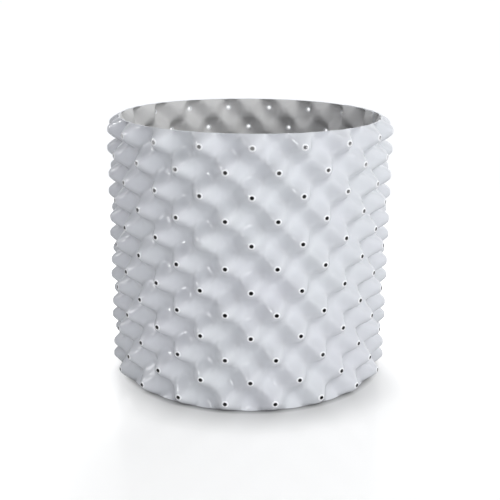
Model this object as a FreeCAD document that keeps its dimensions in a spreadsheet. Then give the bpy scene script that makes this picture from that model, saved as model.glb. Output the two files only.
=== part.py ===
import FreeCAD, Part
import math
import os
import Sketcher

# Air pruning pot: one dimpled plastic sheet rolled into a tube, held by bolts at its
# lap, with a loose drain plate that sits in the groove between two rows of dimples.
# Millimetres, +Z up, origin on the pot's axis at the floor, front of the pot towards -Y.

os.makedirs("parts", exist_ok=True)
doc = FreeCAD.newDocument("AirPruningPot")

# Driving dimensions
SIZES = (
    ("wall_height", 250.0),
    ("cones_round", 19),
    ("cone_rows", 12),
    ("cone_height", 9.8),
    ("dimple_depth", 8.5),
    ("sheet_thickness", 1.4),
    ("hole_diameter", 3.4),
    ("lap_gap", 0.2),
    ("plate_thickness", 3.0),
    ("plate_clearance", 0.15),
    ("plate_opening", 11.0),
    ("plate_ring_pitch", 20.0),
    ("plate_margin", 2.5),
    ("plate_rib_inset", 11.8),
    ("plate_rib_height", 4.0),
    ("plate_rib_width", 2.4),
    ("bolt_diameter", 3.0),
    ("bolt_head_diameter", 8.0),
    ("bolt_head_height", 2.2),
    ("bolt_end", 1.5),
    ("slot_width", 1.2),
    ("slot_depth", 1.0),
    ("nut_diameter", 9.0),
    ("nut_height", 5.0),
    ("wing_span", 18.0),
    ("wing_height", 9.0),
    ("wing_thickness", 2.2),
    ("fastener_gap", 0.1),
)
sheet = doc.addObject("Spreadsheet::Sheet", "Sizes")
for row, (alias, value) in enumerate(SIZES, start=1):
    sheet.set("A%d" % row, alias.replace("_", " "))
    sheet.set("B%d" % row, str(value))
    sheet.setAlias("B%d" % row, alias)
doc.recompute()


def size(alias):
    return float(sheet.get(alias))


# Counts and places on the lattice. A step is half the distance between two cones
# round the pot, and a row is half the distance between two cones up the pot. Cones
# stand where step plus row is even, dimples where it is odd.
STEPS_ROUND = 2 * int(round(size("cones_round")))
ROWS = int(round(size("cone_rows")))
ROW_PITCH = size("wall_height") / ROWS
MID_RADIUS = STEPS_ROUND * ROW_PITCH / (2 * math.pi)
HOLE_SIDES = 6

# The lap: the sheet's inner end starts here, and its outer end runs over it
LAP_START = 10.5
LAP_STEPS = 3
JOG_STEPS = 2
BOLT_STEP = 12
BOLT_ROWS = (2, 6, 10)
NUT_TURNS = (74, 101, 88)

# The one cone that was never punched, as the photograph shows it
BLIND_CONE = (STEPS_ROUND - 2, 4)

# The drain plate lies between this row and the one above it
PLATE_ROW = ROWS - 1


def directions(step):
    """Unit vectors away from the axis and along the wall at a step."""
    angle = 2 * math.pi * step / STEPS_ROUND
    outward = FreeCAD.Vector(math.sin(angle), -math.cos(angle), 0)
    along = FreeCAD.Vector(math.cos(angle), math.sin(angle), 0)
    return outward, along


def row_height(row):
    """Height over the floor; the rim lies half a row above row 0."""
    return (ROWS - 0.5 - row) * ROW_PITCH


def lap_offset(step):
    """The sheet's inner end is drawn in under the outer end, then comes back out."""
    depth = size("sheet_thickness") + size("lap_gap")
    past = (step - LAP_START - LAP_STEPS) / JOG_STEPS
    return -depth * max(0.0, min(1.0, 1.0 - past))


def wall_point(step, row, radius, side):
    outward, along = directions(step)
    reach = radius + lap_offset(step) + side * size("sheet_thickness") / 2
    return outward * reach + FreeCAD.Vector(0, 0, row_height(row))


def hole_ring(step, row, side):
    """Corners of the hole at a cone's tip, in the plane across the cone."""
    outward, along = directions(step)
    centre = wall_point(step, row, MID_RADIUS + size("cone_height"), side)
    reach = size("hole_diameter") / 2 / math.cos(math.pi / HOLE_SIDES)
    ring = []
    for corner in range(HOLE_SIDES):
        angle = 2 * math.pi * corner / HOLE_SIDES
        across = along * math.cos(angle) + FreeCAD.Vector(0, 0, math.sin(angle))
        ring.append(centre + across * reach)
    return ring


def saddle_corners(step, row, side):
    """The four corners of one lattice square, halfway between cones and dimples."""
    corners = ((0.5, -0.5), (-0.5, -0.5), (-0.5, 0.5), (0.5, 0.5))
    return [wall_point(step + across, row + down, MID_RADIUS, side) for across, down in corners]


def facet(*points):
    return Part.Face(Part.makePolygon(list(points) + [points[0]]))


def cone_facets(step, row, side):
    """A cone: facets from the hole's corners out to the corners of its square."""
    ring = hole_ring(step, row, side)
    corners = saddle_corners(step, row, side)
    facets = []
    nearest = [int((corner + 0.5) * len(corners) / HOLE_SIDES) % len(corners) for corner in range(HOLE_SIDES)]
    for here in range(HOLE_SIDES):
        after = (here + 1) % HOLE_SIDES
        corner = corners[nearest[here]]
        facets.append(facet(ring[here], ring[after], corner))
        if nearest[after] != nearest[here]:
            facets.append(facet(ring[after], corner, corners[nearest[after]]))
    return facets


def dimple_facets(step, row, side):
    """A dimple: four facets down to its blunt point."""
    corners = saddle_corners(step, row, side)
    point = wall_point(step, row, MID_RADIUS - size("dimple_depth"), side)
    return [facet(corners[here], corners[here - 1], point) for here in range(len(corners))]


def hole_facets(step, row):
    """The hole through the sheet, or the two closed faces of the blind cone."""
    outer = hole_ring(step, row, 1)
    inner = hole_ring(step, row, -1)
    if (step % STEPS_ROUND, row) == BLIND_CONE:
        return [facet(*outer), facet(*inner)]
    return [facet(outer[here - 1], outer[here], inner[here], inner[here - 1]) for here in range(HOLE_SIDES)]


def edge_facets(first_step, last_step):
    """The cut edges of the sheet: the rim, the foot and the two upright ends."""
    facets = []

    def strip(start, end):
        facets.append(facet(wall_point(*start, MID_RADIUS, 1), wall_point(*end, MID_RADIUS, 1),
                            wall_point(*end, MID_RADIUS, -1), wall_point(*start, MID_RADIUS, -1)))

    for place in range(int(last_step - first_step)):
        left = first_step + place
        for row in (-0.5, ROWS - 0.5):
            strip((left, row), (left + 1, row))
    for row in range(ROWS):
        for step in (first_step, last_step):
            strip((step, row - 0.5), (step, row + 0.5))
    return facets


def make_side_wall():
    """The rolled sheet, one lattice square after another."""
    first_step = LAP_START
    last_step = LAP_START + STEPS_ROUND + LAP_STEPS
    facets = edge_facets(first_step, last_step)
    for step in range(math.ceil(first_step), math.floor(last_step) + 1):
        for row in range(ROWS):
            is_cone = (step + row) % 2 == 0
            for side in (1, -1):
                shape = cone_facets if is_cone else dimple_facets
                facets.extend(shape(step, row, side))
            if is_cone:
                facets.extend(hole_facets(step, row))
    shell = Part.makeShell(facets)
    shell.sewShape()
    wall = doc.addObject("Part::Feature", "SideWall")
    wall.Label = "side_wall"
    solid = Part.makeSolid(Part.Shell(shell.Faces))
    if solid.Volume < 0:
        solid.reverse()
    wall.Shape = solid
    return wall


def sketch_on(body, role, name):
    """A sketch on one of the body's own origin planes."""
    sketch = body.newObject("Sketcher::SketchObject", name)
    plane = next(feature for feature in body.Origin.OriginFeatures if feature.Role == role)
    sketch.AttachmentSupport = [(plane, "")]
    sketch.MapMode = "FlatFace"
    return sketch


def bound_constraint(sketch, kind, places, expression):
    value = float(sketch.evalExpression(expression))
    index = sketch.addConstraint(Sketcher.Constraint(kind, *places, value))
    sketch.setExpression("Constraints[%d]" % index, expression)


def add_circle(sketch, diameter):
    radius = float(sketch.evalExpression(diameter)) / 2
    circle = sketch.addGeometry(Part.Circle(FreeCAD.Vector(0, 0, 0), FreeCAD.Vector(0, 0, 1), radius))
    sketch.addConstraint(Sketcher.Constraint("Coincident", circle, 3, -1, 1))
    bound_constraint(sketch, "Diameter", (circle,), diameter)


def add_outline(sketch, points):
    """A closed outline whose corners are pairs of expressions."""
    corners = [FreeCAD.Vector(float(sketch.evalExpression(across)), float(sketch.evalExpression(up)), 0)
               for across, up in points]
    lines = []
    for here, corner in enumerate(corners):
        after = corners[(here + 1) % len(corners)]
        lines.append(sketch.addGeometry(Part.LineSegment(corner, after)))
    for here, line in enumerate(lines):
        sketch.addConstraint(Sketcher.Constraint("Coincident", line, 2, lines[(here + 1) % len(lines)], 1))
    for line, (across, up) in zip(lines, points):
        for kind, axis, expression in (("DistanceX", -2, across), ("DistanceY", -1, up)):
            if expression == "0":
                sketch.addConstraint(Sketcher.Constraint("PointOnObject", line, 1, axis))
            else:
                bound_constraint(sketch, kind, (-1, 1, line, 1), expression)


def set_placement(body, expressions, rotation):
    body.Placement = FreeCAD.Placement(FreeCAD.Vector(0, 0, 0), rotation)
    for axis, expression in zip("xyz", expressions):
        body.setExpression("Placement.Base." + axis, expression)


# The lattice again, as expressions that the sketches and placements are bound to
PITCH = "(Sizes.wall_height / Sizes.cone_rows)"
MIDDLE = "(Sizes.cones_round * %s / pi)" % PITCH
HALF_STEP = "(90 / Sizes.cones_round)"
LAP_DEPTH = "(Sizes.sheet_thickness + Sizes.lap_gap)"
TIP = "(%s + Sizes.cone_height + Sizes.sheet_thickness / 2)" % MIDDLE


def direction_expressions(step):
    angle = "%s * 2 * %s" % (step, HALF_STEP)
    return "sin(%s)" % angle, "-cos(%s)" % angle


def make_drain_plate():
    """A perforated disc whose rim sits between two rows of dimples, just under the lap."""
    body = doc.addObject("PartDesign::Body", "DrainPlate")
    body.Label = "drain_plate"
    inside = "(%s - Sizes.sheet_thickness / 2)" % MIDDLE
    flat = "%s * cos(%s)" % (inside, HALF_STEP)
    slope = "(%s - %s + Sizes.dimple_depth) / (%s / 2)" % (flat, inside, PITCH)
    reach = "(%s - %s * Sizes.plate_thickness / 2 - Sizes.plate_clearance - %s / 2)" % (flat, slope, LAP_DEPTH)
    inner_rib = "%s - Sizes.plate_rib_inset - Sizes.plate_rib_width" % reach

    disc_sketch = sketch_on(body, "XY_Plane", "DiscSketch")
    add_circle(disc_sketch, "2 * %s" % reach)
    disc = body.newObject("PartDesign::Pad", "Disc")
    disc.Profile = disc_sketch
    disc.setExpression("Length", "Sizes.plate_thickness")

    rib_sketch = sketch_on(body, "XY_Plane", "RibSketch")
    add_circle(rib_sketch, "2 * (%s - Sizes.plate_rib_inset)" % reach)
    add_circle(rib_sketch, "2 * (%s)" % inner_rib)
    rib = body.newObject("PartDesign::Pad", "Rib")
    rib.Profile = rib_sketch
    rib.Reversed = True
    rib.setExpression("Length", "Sizes.plate_rib_height")

    half = "Sizes.plate_opening / 2"
    room = "(%s - Sizes.plate_margin - %s) / Sizes.plate_ring_pitch" % (inner_rib, half)
    for ring in range(int(sheet.evalExpression(room)) + 1):
        opening_sketch = sketch_on(body, "XY_Plane", "OpeningSketch%d" % ring)
        near = "%d * Sizes.plate_ring_pitch - %s" % (ring, half)
        far = "%d * Sizes.plate_ring_pitch + %s" % (ring, half)
        add_outline(opening_sketch, ((near, "-" + half), (far, "-" + half), (far, half), (near, half)))
        opening = body.newObject("PartDesign::Pocket", "Opening%d" % ring)
        opening.Profile = opening_sketch
        opening.Type = "ThroughAll"
        opening.SideType = "Symmetric"
        if ring == 0:
            continue
        pattern = body.newObject("PartDesign::PolarPattern", "OpeningRing%d" % ring)
        pattern.Originals = [opening]
        pattern.Axis = (opening_sketch, ["N_Axis"])
        pattern.Angle = 360
        pattern.Occurrences = 6 * ring
        body.Tip = pattern

    across, forward = direction_expressions(BOLT_STEP)
    height = "%s * (Sizes.cone_rows - %s) - Sizes.plate_thickness / 2" % (PITCH, PLATE_ROW)
    set_placement(body, ("-(%s) * %s / 2" % (across, LAP_DEPTH), "-(%s) * %s / 2" % (forward, LAP_DEPTH), height),
                  FreeCAD.Rotation())
    return body


def fastener_frame(step, turn):
    """Rotation that points a fastener away from the pot's axis, turned about itself."""
    outward, along = directions(step)
    upright = FreeCAD.Rotation(along, FreeCAD.Vector(0, 0, 1), outward, "ZXY")
    return upright.multiply(FreeCAD.Rotation(FreeCAD.Vector(0, 0, 1), turn))


def place_fastener(body, row, turn, reach):
    across, forward = direction_expressions(BOLT_STEP)
    height = "%s * (Sizes.cone_rows - 0.5 - %s)" % (PITCH, row)
    set_placement(body, ("%s * (%s)" % (across, reach), "%s * (%s)" % (forward, reach), height),
                  fastener_frame(BOLT_STEP, turn))


def make_seam_bolt(number, row, turn):
    """A hexagon bolt whose head wedges in the inner end's cone."""
    body = doc.addObject("PartDesign::Body", "SeamBolt%d" % number)
    body.Label = "seam_bolt_%d" % number
    square_reach = "(%s * sin(%s))" % (MIDDLE, HALF_STEP)
    square_depth = "(Sizes.cone_height + %s * (1 - cos(%s)))" % (MIDDLE, HALF_STEP)
    hole_corner = "Sizes.hole_diameter / 2 / cos(%d)" % (180 / HOLE_SIDES)
    seat_slope = "(%s / (%s - %s))" % (square_depth, square_reach, hole_corner)
    seat = "((Sizes.bolt_head_diameter - Sizes.hole_diameter) / 2 * %s)" % seat_slope
    past_seat = "(2 * Sizes.sheet_thickness + Sizes.lap_gap + Sizes.nut_height + Sizes.bolt_end)"

    head = body.newObject("PartDesign::AdditivePrism", "Head%d" % number)
    head.Polygon = 6
    head.setExpression("Circumradius", "Sizes.bolt_head_diameter / 2")
    head.setExpression("Height", "Sizes.bolt_head_height")
    head.setExpression("Placement.Base.z", "-%s - Sizes.fastener_gap - Sizes.bolt_head_height" % seat)

    shank = body.newObject("PartDesign::AdditiveCylinder", "Shank%d" % number)
    shank.setExpression("Radius", "Sizes.bolt_diameter / 2")
    shank.setExpression("Height", "%s + Sizes.bolt_head_height / 2 + %s" % (seat, past_seat))
    shank.setExpression("Placement.Base.z", "-%s - Sizes.bolt_head_height / 2" % seat)

    slot = body.newObject("PartDesign::SubtractiveBox", "Slot%d" % number)
    slot.setExpression("Length", "Sizes.bolt_head_diameter")
    slot.setExpression("Width", "Sizes.slot_width")
    slot.setExpression("Height", "Sizes.slot_depth")
    slot.setExpression("Placement.Base.x", "-Sizes.bolt_head_diameter / 2")
    slot.setExpression("Placement.Base.y", "-Sizes.slot_width / 2")
    slot.setExpression("Placement.Base.z", "-%s - Sizes.fastener_gap - Sizes.bolt_head_height" % seat)
    body.Tip = slot
    place_fastener(body, row, turn, "%s - Sizes.sheet_thickness - %s" % (TIP, LAP_DEPTH))
    return body


def make_wing_nut(number, row, turn):
    """A wing nut that bears on the tip of the outer end's cone."""
    body = doc.addObject("PartDesign::Body", "WingNut%d" % number)
    body.Label = "wing_nut_%d" % number
    boss = body.newObject("PartDesign::AdditivePrism", "Boss%d" % number)
    boss.Polygon = 8
    boss.setExpression("Circumradius", "Sizes.nut_diameter / 2")
    boss.setExpression("Height", "Sizes.nut_height")
    boss.setExpression("Placement.Base.z", "Sizes.fastener_gap")

    root = "(Sizes.bolt_diameter / 2 + Sizes.fastener_gap + Sizes.nut_diameter / 2) / 2"
    wing_sketch = sketch_on(body, "XZ_Plane", "WingSketch%d" % number)
    add_outline(wing_sketch, (
        (root, "Sizes.nut_height * 0.2"),
        ("Sizes.wing_span / 2", "Sizes.wing_height * 0.6"),
        ("Sizes.wing_span / 2", "Sizes.wing_height * 0.9"),
        ("Sizes.wing_span * 0.42", "Sizes.wing_height"),
        ("Sizes.wing_span * 0.32", "Sizes.wing_height * 0.95"),
        (root, "Sizes.nut_height * 0.8"),
    ))
    wing = body.newObject("PartDesign::Pad", "Wing%d" % number)
    wing.Profile = wing_sketch
    wing.SideType = "Symmetric"
    wing.setExpression("Length", "Sizes.wing_thickness")
    pair = body.newObject("PartDesign::PolarPattern", "WingPair%d" % number)
    pair.Originals = [wing]
    pair.Axis = (wing_sketch, ["V_Axis"])
    pair.Angle = 360
    pair.Occurrences = 2

    bore = body.newObject("PartDesign::SubtractiveCylinder", "Bore%d" % number)
    bore.setExpression("Radius", "Sizes.bolt_diameter / 2 + Sizes.fastener_gap")
    bore.setExpression("Height", "Sizes.nut_height + 2 * Sizes.fastener_gap")
    body.Tip = bore
    place_fastener(body, row, turn, TIP)
    return body


pieces = [make_side_wall(), make_drain_plate()]
for number, (row, turn) in enumerate(zip(BOLT_ROWS, NUT_TURNS), start=1):
    pieces.append(make_seam_bolt(number, row, turn))
    pieces.append(make_wing_nut(number, row, turn))
doc.recompute()

for item in doc.Objects:
    if {"Invalid", "Error"} & set(item.State):
        raise RuntimeError("%s failed: %s" % (item.Label, item.State))
for piece in pieces:
    if piece.Shape.isNull() or not piece.Shape.isValid():
        raise RuntimeError("%s has no valid shape" % piece.Label)
    piece.Shape.exportStep(os.path.join("parts", piece.Label + ".step"))
    print(piece.Label, len(piece.Shape.Solids), "solid, volume %.1f mm3" % piece.Shape.Volume)
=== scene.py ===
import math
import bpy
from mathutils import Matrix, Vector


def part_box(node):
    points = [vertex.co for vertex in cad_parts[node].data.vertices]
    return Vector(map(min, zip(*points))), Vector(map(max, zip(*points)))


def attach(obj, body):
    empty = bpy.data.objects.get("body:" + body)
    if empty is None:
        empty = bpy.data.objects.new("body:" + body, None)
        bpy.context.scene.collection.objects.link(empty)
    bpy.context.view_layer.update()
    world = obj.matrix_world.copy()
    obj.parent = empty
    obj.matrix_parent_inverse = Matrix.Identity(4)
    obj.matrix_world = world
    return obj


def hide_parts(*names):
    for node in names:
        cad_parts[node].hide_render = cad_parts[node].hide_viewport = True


bl_info = {
    "name": "Air Pruning Pot",
    "version": (1, 0, 0),
    "blender": (4, 5, 0),
    "location": "3D View > Sidebar > Pot",
    "description": "Builds a dimpled air pruning pot, its fasteners and a plain studio stage",
    "category": "Add Mesh",
}

import bpy
from bpy.props import FloatProperty, FloatVectorProperty, IntProperty, PointerProperty
from bpy.types import NodeSocket, Operator, Panel, PropertyGroup
from mathutils import Matrix, Vector

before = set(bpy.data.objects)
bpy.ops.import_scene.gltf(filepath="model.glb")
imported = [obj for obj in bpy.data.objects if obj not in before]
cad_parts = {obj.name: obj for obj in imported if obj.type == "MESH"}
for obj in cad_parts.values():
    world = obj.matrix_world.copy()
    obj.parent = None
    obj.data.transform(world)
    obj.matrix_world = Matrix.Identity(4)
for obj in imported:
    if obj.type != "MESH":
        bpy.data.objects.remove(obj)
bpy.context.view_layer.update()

# The lattice of the sheet: a step is half the distance between two cones round the
# pot and a row half the distance up it. Cones stand where step plus row is even.
WALL_LOW, WALL_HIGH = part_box("side_wall")
STEPS_ROUND = 38
ROWS = 12
PITCH = (WALL_HIGH.z - WALL_LOW.z) / ROWS
MID_RADIUS = STEPS_ROUND * PITCH / (2 * math.pi)

# A cone stands at the very front, so the wall's box ends at its tip
TIP_RADIUS = -WALL_LOW.y

# The sheet is cut half a row above its first row and half a row below its last
RIM_ROW = -0.5
FOOT_ROW = ROWS - 0.5
ROW_TOLERANCE = 0.001

# Corners of squares are one point where they agree to this part of a step
POINT_PARTS = 1000

# The sheet starts with the inner end of its lap, which lies a thickness and a gap
# further in, and eases out past the lap. Its outer end runs over the inner one.
LAP_START = 10.5
LAP_STEPS = 3
JOG_STEPS = 2
LAP_GAP = 0.0002

# The one cone that has no hole, just left of the middle
BLIND_CONE = (STEPS_ROUND - 2, 4)

# The drain plate lies in the groove at this height. The sheet stays a plain wave
# there, and has its full form from the farther of two distances on, in rows.
PLATE_ROW = ROWS - 1.5
PLAIN_NEAR = 0.1
PLAIN_FAR = 1.1

# Rings round a cone's tip and a dimple's floor, out to the border of their square.
# Each has its share of the tip's or the floor's radius, and how square it is.
TIP_OUTSIDE = ((1.05, 0), (1.45, 0), (1.6, 0.4), (0, 1))
TIP_INSIDE = ((1.3, 0), (1.6, 0.4), (0, 1))
FLOOR_OUTSIDE = ((0.55, 0), (0.95, 0), (1.2, 0), (1.35, 0.45), (0, 1))
FLOOR_INSIDE = ((0.7, 0), (1.1, 0), (1.35, 0.45), (0, 1))

# The lip round a hole: the share of its width that is level, the share of its height
# left at its outer edge, and the share of its width that is as pale inside
LIP_LEVEL = 0.6
LIP_FOOT = 0.3
LIP_INSIDE = 0.7

# Where the first corner of a square lies, seen from its middle
FIRST_CORNER = 0.75 * math.pi

# Faces that meet at more than this angle get a sharp edge
SHARP_ANGLE = math.radians(50)

# The sheet's finishes, in the order of its material slots
OUTSIDE, INSIDE, LIP, HOLE = range(4)

FASTENERS = ("1", "2", "3")

# Painted shade: the sheet's inside darkens between these heights, to this share of its colour, standing in
# for the shade deep in the pot
PAINTED_SHADE_FROM = 0.24
PAINTED_SHADE_TO = 0.135
PAINTED_SHADE_DARKEST = 0.13

# The floor, by the distance from the pot's axis: it fades away far out, has a painted
# contact shadow where it meets the wall's foot, and doesn't glow inside the wall. Its
# sides are twice its reach.
FLOOR_REACH = 8.0
FLOOR_FADE = (0.25, 1.1)
FLOOR_COLOUR = (0.70, 0.70, 0.695, 1)
CONTACT_SHADOW_COLOUR = (0.30, 0.30, 0.30, 1)
CONTACT_SHADOW_FADE = (0.1262, 0.133)
WALL_FOOT = (0.122, 0.130)

# Two soft rounds of shade on the floor: the centre of each, the distances from it
# between which the floor's glow comes up, and how strong that glow gets
SHADES = (
    ((0.0, -0.008, 0.0), 0.11, 0.178, 0.42),
    ((0.06, -0.26, 0.0), 0.17, 0.34, 0.5),
)

STUDIO_COLOUR = (0.96, 0.975, 1.0, 1)
BACKDROP_STRENGTH = 1.05

# The lights: name, place, width, power, colour, and whether it gives glints alone
LIGHTS = (
    ("Key", (1.5, -1.1, 1.3), 1.2, 21, (1.0, 1.0, 0.985), False),
    ("Front", (-0.2, -2.05, 0.6), 1.3, 14.2, (0.98, 0.98, 1.0), False),
    ("Rear left", (-1.3, 0.1, 0.85), 0.3, 2.3, (1.0, 0.99, 1.0), False),
    ("Left glint", (-1.2, -0.9, 0.9), 0.35, 5, (1.0, 1.0, 1.0), True),
    ("Rear glint", (-1.3, 0.1, 0.85), 0.35, 8, (1.0, 1.0, 1.0), True),
    ("Top glint", (0.2, -1.3, 1.7), 0.3, 2.2, (1.0, 1.0, 1.0), True),
)
LIT_POINT = Vector((0, 0, 0.12))

# How far right of the pot's axis the camera looks
LOOK_ACROSS = 0.0007
SENSOR_WIDTH = 36


class PotSheetSettings(PropertyGroup):
    """Sizes and colours of the dimpled sheet."""

    thickness: FloatProperty(
        name="Thickness", description="Thickness of the sheet",
        default=0.0014, min=0.0005, max=0.002, unit="LENGTH",
    )
    dimple_depth: FloatProperty(
        name="Dimple depth", description="Depth of a dimple below the middle of the sheet",
        default=0.0074, min=0.002, max=0.0085, unit="LENGTH",
    )
    flat_radius: FloatProperty(
        name="Tip flat", description="Radius of the flat at a cone's tip",
        default=0.0028, min=0.002, max=0.005, unit="LENGTH",
    )
    floor_radius: FloatProperty(
        name="Dimple floor", description="Radius of the blunt floor of a dimple",
        default=0.0037, min=0.002, max=0.005, unit="LENGTH",
    )
    bluntness: FloatProperty(
        name="Bluntness",
        description="From cones and dimples like waves, 0, to blunt ones with steep flanks, 1",
        default=0.55, min=0.0, max=1.0, subtype="FACTOR",
    )
    roundness: FloatProperty(
        name="Roundness",
        description="From cones with a square base, 0, to rounder ones with sunken corners between",
        default=0.24, min=0.0, max=0.5, subtype="FACTOR",
    )
    hole_radius: FloatProperty(
        name="Hole radius", description="Radius of the hole in a cone's tip",
        default=0.0017, min=0.001, max=0.002, unit="LENGTH",
    )
    lip_height: FloatProperty(
        name="Lip height", description="How far the lip round a punched hole stands proud",
        default=0.00025, min=0.0, max=0.0005, unit="LENGTH",
    )
    lip_width: FloatProperty(
        name="Lip width", description="Width of the lip round a punched hole",
        default=0.0014, min=0.0005, max=0.002, unit="LENGTH",
    )
    edge_round: FloatProperty(
        name="Edge rounding", description="Rounding of the holes and of the cut edges",
        default=0.0002, min=0.0, max=0.0005, unit="LENGTH",
    )
    side_cuts: IntProperty(
        name="Cuts", description="Mesh cuts along the side of one lattice square",
        default=5, min=3, max=6,
    )
    outside_colour: FloatVectorProperty(
        name="Outside colour", description="Colour of the sheet's outside", subtype="COLOR", size=3,
        default=(0.70, 0.73, 0.75), min=0.0, max=1.0,
    )
    inside_colour: FloatVectorProperty(
        name="Inside colour", description="Colour of the sheet's inside at the rim", subtype="COLOR", size=3,
        default=(0.70, 0.70, 0.70), min=0.0, max=1.0,
    )
    lip_colour: FloatVectorProperty(
        name="Lip colour", description="Colour of the stretched plastic round the holes",
        subtype="COLOR", size=3, default=(0.92, 0.93, 0.95), min=0.0, max=1.0,
    )


class PotFittingSettings(PropertyGroup):
    """Colours of the loose plate and the fasteners."""

    # Painted shade: the drain plate is near black, standing in for the shade at the bottom of the pot
    plate_painted_shade_colour: FloatVectorProperty(
        name="Plate colour", description="Colour of the drain plate", subtype="COLOR", size=3,
        default=(0.055, 0.057, 0.06), min=0.0, max=1.0,
    )
    fastener_colour: FloatVectorProperty(
        name="Fastener colour", description="Colour of the bolts and wing nuts", subtype="COLOR", size=3,
        default=(0.72, 0.72, 0.71), min=0.0, max=1.0,
    )


class PotStageSettings(PropertyGroup):
    """The camera's place and lens."""

    distance: FloatProperty(
        name="Distance", description="From the camera to the point it looks at",
        default=0.941, min=0.3, max=5.0, unit="LENGTH",
    )
    look_height: FloatProperty(
        name="Look height", description="Height of the point that the camera looks at",
        default=0.115, min=0.0, max=0.5, unit="LENGTH",
    )
    azimuth: FloatProperty(
        name="Azimuth", description="Turn of the camera round the pot",
        default=math.radians(-0.81), subtype="ANGLE",
    )
    elevation: FloatProperty(
        name="Elevation", description="Height of the camera over the horizon",
        default=math.radians(15.73), subtype="ANGLE",
    )
    roll: FloatProperty(
        name="Roll", description="Roll of the camera", default=math.radians(0.46), subtype="ANGLE",
    )
    lens: FloatProperty(
        name="Lens", description="Focal length on a sensor 36 mm wide",
        default=68.2, min=20, max=200, subtype="DISTANCE_CAMERA",
    )


def share(value, low, high):
    """How far a value lies from low to high, kept between 0 and 1."""
    return max(0.0, min(1.0, (value - low) / (high - low)))


class SheetMesh:
    """Collects the points and faces of the formed sheet."""

    def __init__(self, settings):
        self.settings = settings
        self.points = []
        self.faces = []
        self.finishes = []
        self.known = {}
        self.cone_height = TIP_RADIUS - settings.lip_height - settings.thickness / 2 - MID_RADIUS

    def rise(self, step, row):
        """Height of the sheet over its middle: cones up, dimples down, flanks between."""
        wave = math.cos(math.pi * step) * math.cos(math.pi * row)
        corner = (2 - math.cos(2 * math.pi * step) - math.cos(2 * math.pi * row)) / 4
        clear = share(abs(row - PLATE_ROW), PLAIN_NEAR, PLAIN_FAR)
        wave -= self.settings.roundness * clear * corner
        blunt = math.sin(math.pi / 2 * wave)
        reach = self.cone_height if wave > 0 else self.settings.dimple_depth
        return reach * (wave + (blunt - wave) * self.settings.bluntness * clear)

    def lap_offset(self, step):
        """How far the sheet lies out from its middle radius, which is inwards in the lap."""
        past = share(step, LAP_START + LAP_STEPS, LAP_START + LAP_STEPS + JOG_STEPS)
        eased = past * past * (3 - 2 * past)
        return -(self.settings.thickness + LAP_GAP) * (1 - eased)

    def place(self, step, row, radius, lift=0.0):
        """The point at a lattice place, at a radius from the pot's axis."""
        angle = 2 * math.pi * step / STEPS_ROUND
        height = (FOOT_ROW - row) * PITCH + lift
        return Vector((radius * math.sin(angle), -radius * math.cos(angle), height))

    def add(self, point):
        """Adds a point and returns its number."""
        self.points.append(point)
        return len(self.points) - 1

    def skin_point(self, step, row, side, sink=0.0):
        """Point number of the outer (1) or inner (-1) skin, shared with the neighbouring square."""
        key = (round(step * POINT_PARTS), round(row * POINT_PARTS), side)
        if key not in self.known:
            radius = MID_RADIUS + self.rise(step, row) + self.lap_offset(step)
            radius += side * (self.settings.thickness / 2 - sink)
            lift = 0.0
            if row < RIM_ROW + ROW_TOLERANCE:
                lift = -self.settings.edge_round
            if row > FOOT_ROW - ROW_TOLERANCE:
                lift = self.settings.edge_round
            self.known[key] = self.add(self.place(step, row, radius, lift))
        return self.known[key]

    def add_face(self, corners, side=1, finish=OUTSIDE):
        """Adds a face, turned over for the inner side (-1)."""
        self.faces.append(corners if side > 0 else corners[::-1])
        self.finishes.append(finish)

    def border(self):
        """Corners of the square round a lattice point, once round, as shares of the pitch."""
        cuts = self.settings.side_cuts
        ends = ((-0.5, 0.5), (0.5, 0.5), (0.5, -0.5), (-0.5, -0.5))
        found = []
        for here, (across, down) in enumerate(ends):
            next_across, next_down = ends[(here + 1) % 4]
            for cut in range(cuts):
                part = cut / cuts
                found.append((across + (next_across - across) * part, down + (next_down - down) * part))
        return found

    def loop(self, step, row, side, reach, squareness, sink=0.0):
        """Point numbers once round a lattice point, counter-clockwise seen from outside."""
        border = self.border()
        found = []
        for number, (across, down) in enumerate(border):
            angle = FIRST_CORNER - 2 * math.pi * number / len(border)
            near_across = reach * math.cos(angle)
            near_down = reach * math.sin(angle)
            found.append(self.skin_point(
                step + near_across + (across - near_across) * squareness,
                row + near_down + (down - near_down) * squareness,
                side, sink,
            ))
        return found

    def join_loops(self, loops, side, finishes):
        """Faces between each loop and the next."""
        for inner, outer, finish in zip(loops, loops[1:], finishes):
            for here in range(len(inner)):
                self.add_face((inner[here - 1], outer[here - 1], outer[here], inner[here]), side, finish)

    def add_cone(self, step, row):
        """One cone: rings from its hole, or its closed tip, to the border of its square."""
        settings = self.settings
        blind = (step % STEPS_ROUND, row) == BLIND_CONE
        hole = settings.hole_radius / PITCH
        edge = hole + settings.edge_round / PITCH
        lip = settings.lip_width / PITCH
        flat = settings.flat_radius / PITCH
        lift = 0.0 if blind else settings.lip_height
        sink = 0.0 if blind else settings.edge_round
        lip_finish = OUTSIDE if blind else LIP

        # A ring's radius, how square it is, how far it is sunk, and the finish beyond it
        outside = [
            (hole, 0, sink - lift, lip_finish),
            (edge, 0, -lift, lip_finish),
            (hole + lip * LIP_LEVEL, 0, -lift, lip_finish),
            (hole + lip, 0, -lift * LIP_FOOT, OUTSIDE),
        ]
        outside += [(flat * part, squareness, 0, OUTSIDE) for part, squareness in TIP_OUTSIDE]
        inside = [(hole, 0, sink, LIP), (edge + lip * LIP_INSIDE, 0, 0, INSIDE)]
        inside += [(flat * part, squareness, 0, INSIDE) for part, squareness in TIP_INSIDE]

        mouths = {}
        for side, rings in ((1, outside), (-1, inside)):
            loops = [self.loop(step, row, side, *ring[:3]) for ring in rings]
            self.join_loops(loops, side, [finish for *_, finish in rings])
            mouths[side] = loops[0]
            if blind:
                self.add_face(tuple(loops[0]), side, OUTSIDE if side > 0 else INSIDE)
        if not blind:
            self.join_loops((mouths[-1], mouths[1]), 1, (HOLE,))

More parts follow.
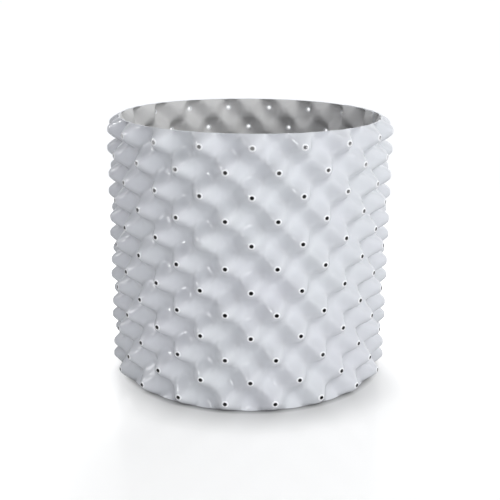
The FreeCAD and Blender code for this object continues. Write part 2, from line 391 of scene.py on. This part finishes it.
    def add_dimple(self, step, row):
        """One dimple: a round floor and rings from it to the border of its square."""
        flat = self.settings.floor_radius / PITCH
        for side, finish, rings in ((1, OUTSIDE, FLOOR_OUTSIDE), (-1, INSIDE, FLOOR_INSIDE)):
            loops = [self.loop(step, row, side, flat * part, squareness) for part, squareness in rings]
            self.join_loops(loops, side, (finish,) * len(loops))
            self.add_face(tuple(loops[0]), side, finish)

    def add_level_edge(self, first_step, last_step, row, direction):
        """The rim or the foot: a cut edge with rounded corners. Returns its two ends."""
        settings = self.settings
        cuts = settings.side_cuts
        count = int(round((last_step - first_step) * cuts))
        loops = []
        for side in (1, -1):
            skin = []
            crest = []
            for number in range(count + 1):
                step = first_step + number / cuts
                skin.append(self.skin_point(step, row, side))
                radius = MID_RADIUS + self.rise(step, row) + self.lap_offset(step)
                radius += side * (settings.thickness / 2 - settings.edge_round)
                crest.append(self.add(self.place(step, row, radius)))
            loops.append((skin, crest))
        (outer, outer_crest), (inner, inner_crest) = loops
        for low, high in ((outer, outer_crest), (outer_crest, inner_crest), (inner_crest, inner)):
            for here in range(count):
                self.add_face((low[here], low[here + 1], high[here + 1], high[here]), direction)
        return (outer_crest[0], inner_crest[0]), (outer_crest[-1], inner_crest[-1])

    def add_upright_edge(self, step, direction, top, bottom):
        """One upright end of the sheet, between the ends of its rim and its foot."""
        cuts = self.settings.side_cuts
        rows = [RIM_ROW + number / cuts for number in range(ROWS * cuts + 1)]
        outer = [self.skin_point(step, row, 1) for row in rows]
        inner = [self.skin_point(step, row, -1) for row in rows]
        for here in range(len(rows) - 1):
            self.add_face((outer[here], outer[here + 1], inner[here + 1], inner[here]), direction)
        self.add_face((top[0], outer[0], inner[0], top[1]), direction)
        self.add_face((bottom[1], inner[-1], outer[-1], bottom[0]), direction)


def build_sheet(settings):
    """The whole sheet, from the inner end of its lap to the outer one."""
    mesh = SheetMesh(settings)
    last_step = LAP_START + STEPS_ROUND + LAP_STEPS
    for step in range(math.ceil(LAP_START), math.floor(last_step) + 1):
        for row in range(ROWS):
            if (step + row) % 2 == 0:
                mesh.add_cone(step, row)
            else:
                mesh.add_dimple(step, row)
    rim_start, rim_end = mesh.add_level_edge(LAP_START, last_step, RIM_ROW, 1)
    foot_start, foot_end = mesh.add_level_edge(LAP_START, last_step, FOOT_ROW, -1)
    mesh.add_upright_edge(LAP_START, -1, rim_start, foot_start)
    mesh.add_upright_edge(last_step, 1, rim_end, foot_end)
    return mesh


def new_piece(name, points, faces):
    """A smooth-shaded mesh object in the scene, with sharp edges where its faces turn a lot."""
    data = bpy.data.meshes.new(name)
    data.from_pydata(points, [], faces)
    data.validate()
    data.polygons.foreach_set("use_smooth", [True] * len(data.polygons))
    data.set_sharp_from_angle(angle=SHARP_ANGLE)
    data.update()
    piece = bpy.data.objects.new(name, data)
    bpy.context.scene.collection.objects.link(piece)
    return piece


def feed(tree, socket, given):
    """Links an output to a socket, or sets the socket to a plain value."""
    if isinstance(given, NodeSocket):
        tree.links.new(given, socket)
    else:
        socket.default_value = given


def ramp(tree, value, start, end, low=0.0, high=1.0, interpolation="SMOOTHSTEP"):
    """Goes from low to high as the value goes from start to end."""
    node = tree.nodes.new("ShaderNodeMapRange")
    node.interpolation_type = interpolation
    feed(tree, node.inputs["Value"], value)
    feed(tree, node.inputs["From Min"], start)
    feed(tree, node.inputs["From Max"], end)
    feed(tree, node.inputs["To Min"], low)
    feed(tree, node.inputs["To Max"], high)
    return node.outputs["Result"]


def calculate(tree, operation, first, second):
    """The result of a Math node."""
    node = tree.nodes.new("ShaderNodeMath")
    node.operation = operation
    feed(tree, node.inputs[0], first)
    feed(tree, node.inputs[1], second)
    return node.outputs["Value"]


def distance_from(tree, place, centre):
    """How far a place lies from a centre."""
    node = tree.nodes.new("ShaderNodeVectorMath")
    node.operation = "DISTANCE"
    feed(tree, node.inputs[0], place)
    feed(tree, node.inputs[1], centre)
    return node.outputs["Value"]


def mix_colours(tree, factor, first, second):
    """Goes from the first colour to the second as the factor goes from 0 to 1."""
    node = tree.nodes.new("ShaderNodeMix")
    node.data_type = "RGBA"
    feed(tree, node.inputs["Factor"], factor)
    feed(tree, node.inputs["A"], first)
    feed(tree, node.inputs["B"], second)
    return node.outputs["Result"]


def noise(tree, place, scale, detail):
    """Soft random patches."""
    node = tree.nodes.new("ShaderNodeTexNoise")
    feed(tree, node.inputs["Vector"], place)
    feed(tree, node.inputs["Scale"], scale)
    feed(tree, node.inputs["Detail"], detail)
    return node.outputs["Fac"]


def grain_group():
    """Moulded plastic: faint cloudiness in colour, patchy gloss and a fine rippled skin."""
    name = "Moulded plastic skin"
    if name in bpy.data.node_groups:
        return bpy.data.node_groups[name]
    group = bpy.data.node_groups.new(name, "ShaderNodeTree")
    for label, kind, default in (
        ("Light", "NodeSocketColor", (0.8, 0.8, 0.8, 1)),
        ("Shade", "NodeSocketColor", (0.7, 0.7, 0.7, 1)),
        ("Cloud scale", "NodeSocketFloat", 25.0),
        ("Gloss low", "NodeSocketFloat", 0.30),
        ("Gloss high", "NodeSocketFloat", 0.42),
        ("Ripple", "NodeSocketFloat", 0.2),
    ):
        socket = group.interface.new_socket(label, in_out="INPUT", socket_type=kind)
        socket.default_value = default
    for label, kind in (
        ("Colour", "NodeSocketColor"), ("Roughness", "NodeSocketFloat"), ("Normal", "NodeSocketVector"),
    ):
        group.interface.new_socket(label, in_out="OUTPUT", socket_type=kind)
    given = group.nodes.new("NodeGroupInput").outputs
    result = group.nodes.new("NodeGroupOutput").inputs
    place = group.nodes.new("ShaderNodeTexCoord").outputs["Object"]

    cloud = noise(group, place, given["Cloud scale"], detail=3)
    feed(group, result["Colour"], mix_colours(group, cloud, given["Light"], given["Shade"]))

    smear = noise(group, place, scale=60, detail=2)
    gloss = ramp(group, smear, 0.0, 1.0, given["Gloss low"], given["Gloss high"], "LINEAR")
    feed(group, result["Roughness"], gloss)

    bump = group.nodes.new("ShaderNodeBump")
    feed(group, bump.inputs["Distance"], 0.0003)
    feed(group, bump.inputs["Height"], noise(group, place, scale=350, detail=2))
    feed(group, bump.inputs["Strength"], given["Ripple"])
    feed(group, result["Normal"], bump.outputs["Normal"])
    return group


def shaded(colour, tint):
    """A colour times a tint, as a node takes it."""
    return (*[part * strength for part, strength in zip(colour, tint)], 1)


def new_material(name):
    """A material with nodes, with its node tree and its shader."""
    material = bpy.data.materials.new(name)
    material.use_nodes = True
    return material, material.node_tree, material.node_tree.nodes["Principled BSDF"]


def add_skin(tree, shader, colour, tint, gloss, ripple, cloud_scale):
    """Places the moulded skin in a material and returns its colour."""
    skin = tree.nodes.new("ShaderNodeGroup")
    skin.node_tree = grain_group()
    feed(tree, skin.inputs["Light"], (*colour, 1))
    feed(tree, skin.inputs["Shade"], shaded(colour, tint))
    feed(tree, skin.inputs["Cloud scale"], cloud_scale)
    feed(tree, skin.inputs["Gloss low"], gloss[0])
    feed(tree, skin.inputs["Gloss high"], gloss[1])
    feed(tree, skin.inputs["Ripple"], ripple)
    feed(tree, shader.inputs["Roughness"], skin.outputs["Roughness"])
    feed(tree, shader.inputs["Normal"], skin.outputs["Normal"])
    return skin.outputs["Colour"]


def plastic(name, colour, tint=(0.95, 0.95, 0.95)):
    """A glossy plastic whose colour, gloss and skin vary a little over the surface."""
    material, tree, shader = new_material(name)
    feed(tree, shader.inputs["IOR"], 1.5)
    feed(tree, shader.inputs["Specular IOR Level"], 0.4)
    feed(tree, shader.inputs["Coat Weight"], 0.8)
    feed(tree, shader.inputs["Coat Roughness"], 0.1)
    skin_colour = add_skin(tree, shader, colour, tint, gloss=(0.42, 0.56), ripple=0.1, cloud_scale=14.0)
    feed(tree, shader.inputs["Base Color"], skin_colour)
    return material


def inner_plastic(name, colour):
    """The sheet's duller inside, with painted shade that darkens it downwards."""
    material, tree, shader = new_material(name)
    feed(tree, shader.inputs["Specular IOR Level"], 0.3)
    tint = (0.92, 0.92, 0.92)
    skin_colour = add_skin(tree, shader, colour, tint, gloss=(0.5, 0.65), ripple=0.15, cloud_scale=30.0)
    height = tree.nodes.new("ShaderNodeSeparateXYZ")
    feed(tree, height.inputs["Vector"], tree.nodes.new("ShaderNodeTexCoord").outputs["Object"])
    # Painted shade: the colour darkens towards the pot's bottom, where the inside lies in shade
    depth = ramp(tree, height.outputs["Z"], PAINTED_SHADE_FROM, PAINTED_SHADE_TO)
    painted_shade_colour = shaded(colour, (PAINTED_SHADE_DARKEST, PAINTED_SHADE_DARKEST, PAINTED_SHADE_DARKEST))
    feed(tree, shader.inputs["Base Color"], mix_colours(tree, depth, skin_colour, painted_shade_colour))
    return material


def set_node_material(name, material):
    """Gives a carried-over node its finish."""
    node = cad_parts[name]
    if not node.material_slots:
        node.data.materials.append(None)
    for slot in node.material_slots:
        slot.link = "OBJECT"
        slot.material = material


class POT_OT_side_wall(Operator):
    """Build the formed sheet that is the pot's wall"""

    bl_idname = "pot.side_wall"
    bl_label = "Side wall"

    def execute(self, context):
        settings = context.scene.pot_sheet
        mesh = build_sheet(settings)
        wall = new_piece("formed_sheet", mesh.points, mesh.faces)
        for finish in (
            plastic("Sheet outside", settings.outside_colour, tint=(0.99, 0.955, 1.0)),
            inner_plastic("Sheet inside", settings.inside_colour),
            plastic("Punched lip", settings.lip_colour, tint=(0.97, 0.97, 0.98)),
            # The hole walls take the inside's finish, painted shade included
            inner_plastic("Hole wall", settings.inside_colour),
        ):
            wall.data.materials.append(finish)
        wall.data.polygons.foreach_set("material_index", mesh.finishes)
        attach(wall, "root")
        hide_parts("side_wall")
        return {"FINISHED"}


class POT_OT_drain_plate(Operator):
    """Finish the drain plate inside the pot"""

    bl_idname = "pot.drain_plate"
    bl_label = "Drain plate"

    def execute(self, context):
        settings = context.scene.pot_fittings
        # The plate's near-black colour is painted shade
        set_node_material("drain_plate", plastic("Drain plate plastic", settings.plate_painted_shade_colour))
        return {"FINISHED"}


class POT_OT_fasteners(Operator):
    """Finish the seam bolts and wing nuts"""

    bl_idname = "pot.fasteners"
    bl_label = "Fasteners"

    def execute(self, context):
        settings = context.scene.pot_fittings
        finish = plastic("Fastener plastic", settings.fastener_colour)
        for number in FASTENERS:
            set_node_material("seam_bolt_" + number, finish)
            set_node_material("wing_nut_" + number, finish)
        return {"FINISHED"}


class POT_OT_stage(Operator):
    """Set up the floor, the studio, the lights and the camera"""

    bl_idname = "pot.stage"
    bl_label = "Stage"

    def execute(self, context):
        scene = context.scene
        self.add_floor()
        self.add_studio(scene)
        for light in LIGHTS:
            self.add_light(scene, *light)
        self.add_camera(scene, scene.pot_stage)
        return {"FINISHED"}

    def add_floor(self):
        """A pale glossy floor that glows white for the camera, but not in the pot's shade."""
        reach = FLOOR_REACH
        corners = [(-reach, -reach, 0), (reach, -reach, 0), (reach, reach, 0), (-reach, reach, 0)]
        floor = new_piece("floor", corners, [(0, 1, 2, 3)])
        material, tree, shader = new_material("Pale floor")
        feed(tree, shader.inputs["Roughness"], 0.14)
        feed(tree, shader.inputs["Specular IOR Level"], 0.5)
        feed(tree, shader.inputs["Emission Color"], (1, 1, 1, 1))
        place = tree.nodes.new("ShaderNodeTexCoord").outputs["Object"]
        distance = distance_from(tree, place, (0, 0, 0))
        fade = ramp(tree, distance, *FLOOR_FADE, low=1.0, high=0.0, interpolation="SMOOTHERSTEP")
        feed(tree, shader.inputs["Alpha"], fade)
        # Painted shadow: the floor's colour darkens in a narrow ring at the wall's foot
        contact_shadow = ramp(tree, distance, *CONTACT_SHADOW_FADE, interpolation="LINEAR")
        colour = mix_colours(tree, contact_shadow, CONTACT_SHADOW_COLOUR, FLOOR_COLOUR)
        feed(tree, shader.inputs["Base Color"], colour)

        glows = [
            ramp(tree, distance_from(tree, place, centre), start, end, high=strength)
            for centre, start, end, strength in SHADES
        ]
        outside = ramp(tree, distance, *WALL_FOOT, interpolation="LINEAR")
        glow = calculate(tree, "MULTIPLY", calculate(tree, "ADD", *glows), outside)
        seen = tree.nodes.new("ShaderNodeLightPath").outputs["Is Camera Ray"]
        feed(tree, shader.inputs["Emission Strength"], calculate(tree, "MULTIPLY", glow, seen))
        floor.data.materials.append(material)

    def add_studio(self, scene):
        """Soft light from all round, by direction, with a white backdrop for the camera."""
        world = bpy.data.worlds.new("Studio")
        world.use_nodes = True
        tree = world.node_tree
        background = tree.nodes["Background"]
        feed(tree, background.inputs["Color"], STUDIO_COLOUR)
        direction = tree.nodes.new("ShaderNodeSeparateXYZ")
        feed(tree, direction.inputs["Vector"], tree.nodes.new("ShaderNodeTexCoord").outputs["Generated"])
        right, back, up = direction.outputs

        # The studio is dimmer towards its ceiling, dimmer on the left and brighter behind
        ceiling = ramp(tree, up, 0.1, 0.9, low=0.52, high=0.22)
        side = ramp(tree, right, -0.9, 0.3, low=0.23, high=1.24)
        evened = ramp(tree, up, 0.3, 0.8, low=side, high=1.1)
        rear = ramp(tree, back, 0.15, 0.7, low=1.0, high=2.2)
        light = calculate(tree, "MULTIPLY", calculate(tree, "MULTIPLY", ceiling, evened), rear)

        # Gloss mirrors the backdrop behind the pot, and the camera sees it all round
        path = tree.nodes.new("ShaderNodeLightPath").outputs
        behind = ramp(tree, back, 0.75, 0.95)
        mirrored = calculate(tree, "MULTIPLY", behind, path["Is Glossy Ray"])
        unseen = ramp(tree, mirrored, 0.0, 1.0, light, BACKDROP_STRENGTH, "LINEAR")
        strength = ramp(tree, path["Is Camera Ray"], 0.0, 1.0, unseen, BACKDROP_STRENGTH, "LINEAR")
        feed(tree, background.inputs["Strength"], strength)
        scene.world = world
        scene.view_settings.view_transform = "Standard"

    def add_light(self, scene, name, position, width, power, colour, glint):
        """A square light aimed at the pot: a glint light gives highlights alone, the others none."""
        data = bpy.data.lights.new(name, "AREA")
        data.shape = "SQUARE"
        data.size = width
        data.energy = power
        data.color = colour
        light = bpy.data.objects.new(name, data)
        light.location = position
        light.visible_glossy = glint
        light.visible_diffuse = not glint
        light.rotation_euler = (LIT_POINT - Vector(position)).to_track_quat("-Z", "Y").to_euler()
        scene.collection.objects.link(light)

    def add_camera(self, scene, settings):
        """The camera, at the photograph's angle."""
        data = bpy.data.cameras.new("Camera")
        data.sensor_width = SENSOR_WIDTH
        data.lens = settings.lens
        camera = bpy.data.objects.new("Camera", data)
        target = Vector((LOOK_ACROSS, 0, settings.look_height))
        back = Vector((
            math.sin(settings.azimuth) * math.cos(settings.elevation),
            -math.cos(settings.azimuth) * math.cos(settings.elevation),
            math.sin(settings.elevation),
        ))
        aim = (-back).to_track_quat("-Z", "Y").to_matrix().to_4x4()
        turned = aim @ Matrix.Rotation(settings.roll, 4, "Z")
        camera.matrix_world = Matrix.Translation(target + back * settings.distance) @ turned
        scene.collection.objects.link(camera)
        scene.camera = camera


class POT_PT_panel(Panel):
    """The pot's sizes and colours, and its pieces"""

    bl_idname = "POT_PT_panel"
    bl_label = "Air Pruning Pot"
    bl_space_type = "VIEW_3D"
    bl_region_type = "UI"
    bl_category = "Pot"

    def draw(self, context):
        for settings in (context.scene.pot_sheet, context.scene.pot_fittings, context.scene.pot_stage):
            box = self.layout.box()
            for name in settings.__annotations__:
                box.prop(settings, name)
        for operator in OPERATORS:
            self.layout.operator(operator.bl_idname)


SETTINGS = {
    "pot_sheet": PotSheetSettings,
    "pot_fittings": PotFittingSettings,
    "pot_stage": PotStageSettings,
}
OPERATORS = (POT_OT_side_wall, POT_OT_drain_plate, POT_OT_fasteners, POT_OT_stage)


def register():
    for settings in SETTINGS.values():
        bpy.utils.register_class(settings)
    for operator in OPERATORS:
        bpy.utils.register_class(operator)
    bpy.utils.register_class(POT_PT_panel)
    for name, settings in SETTINGS.items():
        setattr(bpy.types.Scene, name, PointerProperty(type=settings))


def unregister():
    for name in SETTINGS:
        delattr(bpy.types.Scene, name)
    bpy.utils.unregister_class(POT_PT_panel)
    for operator in OPERATORS:
        bpy.utils.unregister_class(operator)
    for settings in SETTINGS.values():
        bpy.utils.unregister_class(settings)


def main():
    register()
    bpy.ops.pot.side_wall()
    bpy.ops.pot.drain_plate()
    bpy.ops.pot.fasteners()
    bpy.ops.pot.stage()


if __name__ == "__main__":
    main()
